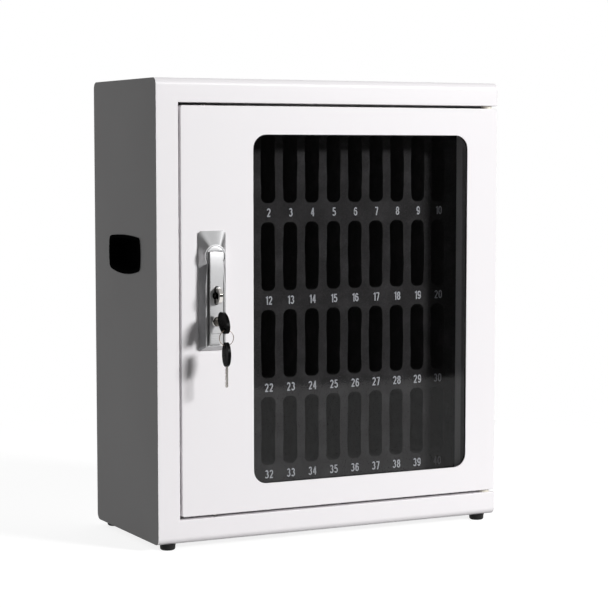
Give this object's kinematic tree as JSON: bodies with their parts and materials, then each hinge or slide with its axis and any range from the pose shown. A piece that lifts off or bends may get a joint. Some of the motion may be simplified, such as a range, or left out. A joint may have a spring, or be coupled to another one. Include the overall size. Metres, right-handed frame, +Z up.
{
  "type": "phone locker box",
  "caption": "Desk-top steel cabinet with a glazed hinged door, numbered foam slots for phones, side carrying cups and a keyed swing handle.",
  "frame": {"origin": "centre of the whole object's footprint, keys included, at the level of the feet's soles", "axes": "+Z up, +X to the right of someone who faces the door, +Y from the door to the back"},
  "size_m": [0.426, 0.2308, 0.507],
  "materials": {
    "white_paint": "satin powder coat",
    "grey_paint": "satin powder coat, dark grey",
    "dark_paint": "satin powder coat, charcoal",
    "foam": "closed-cell foam, matt and speckled",
    "black_plastic": "black, fine texture",
    "key_plastic": "black, smooth",
    "foot_rubber": "black, matt",
    "seal": "black sealing strip",
    "pane": "clear sheet with a light smoke tint",
    "zinc": "satin chrome on die-cast zinc",
    "bright_metal": "polished plating",
    "steel": "zinc plated",
    "bush_plastic": "natural plastic"
  },
  "bodies": {
    "cabinet": {"case_wrap": "white_paint", "side_panel_left": "grey_paint", "side_panel_right": "grey_paint", "left_stile": "white_paint", "facia": "dark_paint", "liner": "dark_paint", "foam_row_1": "foam", "foam_row_2": "foam", "foam_row_3": "foam", "foam_row_4": "foam", "foam_pad": "foam", "carry_cup_left": "black_plastic", "carry_cup_right": "black_plastic", "foot_front_left": "foot_rubber", "foot_front_right": "foot_rubber", "foot_rear_left": "foot_rubber", "foot_rear_right": "foot_rubber", "foot_screws": "steel", "foot_nuts": "steel", "hinge_plate_top": "steel", "hinge_plate_bottom": "steel", "hinge_pin_top": "steel", "hinge_pin_bottom": "steel", "door_bumpers": "foot_rubber"},
    "door": {"door_skin": "white_paint", "pane_gasket": "seal", "window_pane": "pane", "pane_retainer": "white_paint", "pane_studs": "steel", "pane_nuts": "steel", "hinge_bush_top": "bush_plastic", "hinge_bush_bottom": "bush_plastic", "rod_guides": "black_plastic", "lock_housing": "steel", "handle_plate": "zinc", "plate_screws": "steel"},
    "turning_spindle": {"spindle": "zinc", "throw_cam": "steel", "cam_screw": "steel", "lift_pin": "steel"},
    "swing_bar": {"handle_bar": "zinc", "lock_barrel": "bright_metal", "eye_seat": "black_plastic"},
    "hasp": {"padlock_eye": "bright_metal"},
    "fitted_key": {"lock_plug": "steel", "key_blade": "steel", "key_head": "key_plastic"},
    "split_ring": {"key_ring": "steel"},
    "spare_key": {"spare_blade": "steel", "spare_head": "key_plastic"},
    "rod_above": {"upper_rod": "steel"},
    "rod_below": {"lower_rod": "steel"}
  },
  "joints": [
    {"name": "door_open", "type": "hinge", "parent": "cabinet", "child": "door", "pos_m": [0.2029, -0.05765, 0.257], "axis": [0, 0, 1], "range_deg": [0, 120]},
    {"name": "handle_turn", "type": "hinge", "parent": "door", "child": "turning_spindle", "pos_m": [-0.1484, -0.06665, 0.3174], "axis": [0, -1, 0], "range_deg": [0, 90]},
    {"name": "handle_lift", "type": "hinge", "parent": "turning_spindle", "child": "swing_bar", "pos_m": [-0.1484, -0.0782, 0.3217], "axis": [-1, 0, 0], "range_deg": [0, 40]},
    {"name": "hasp_turn", "type": "hinge", "parent": "swing_bar", "child": "hasp", "pos_m": [-0.1484, -0.07865, 0.2756], "axis": [0, -1, 0], "range_deg": [0, 90]},
    {"name": "key_turn", "type": "hinge", "parent": "swing_bar", "child": "fitted_key", "pos_m": [-0.1484, -0.07865, 0.2476], "axis": [0, -1, 0], "range_deg": [0, 90]},
    {"name": "ring_swing", "type": "hinge", "parent": "fitted_key", "child": "split_ring", "pos_m": [-0.1484, -0.10435, 0.241], "axis": [1, 0, 0], "range_deg": [-15, 15]},
    {"name": "spare_key_swing", "type": "hinge", "parent": "split_ring", "child": "spare_key", "pos_m": [-0.1484, -0.10435, 0.22298], "axis": [1, 0, 0], "range_deg": [-15, 15]},
    {"name": "upper_rod_slide", "type": "slide", "parent": "door", "child": "rod_above", "axis": [0, 0, -1], "range_m": [0, 0.01132]},
    {"name": "lower_rod_slide", "type": "slide", "parent": "door", "child": "rod_below", "axis": [0, 0, 1], "range_m": [0, 0.01132]}
  ],
  "couplings": [
    {"joint": "upper_rod_slide", "follows": "handle_turn", "m_per_rad": 0.0072025},
    {"joint": "lower_rod_slide", "follows": "handle_turn", "m_per_rad": 0.0072025}
  ]
}
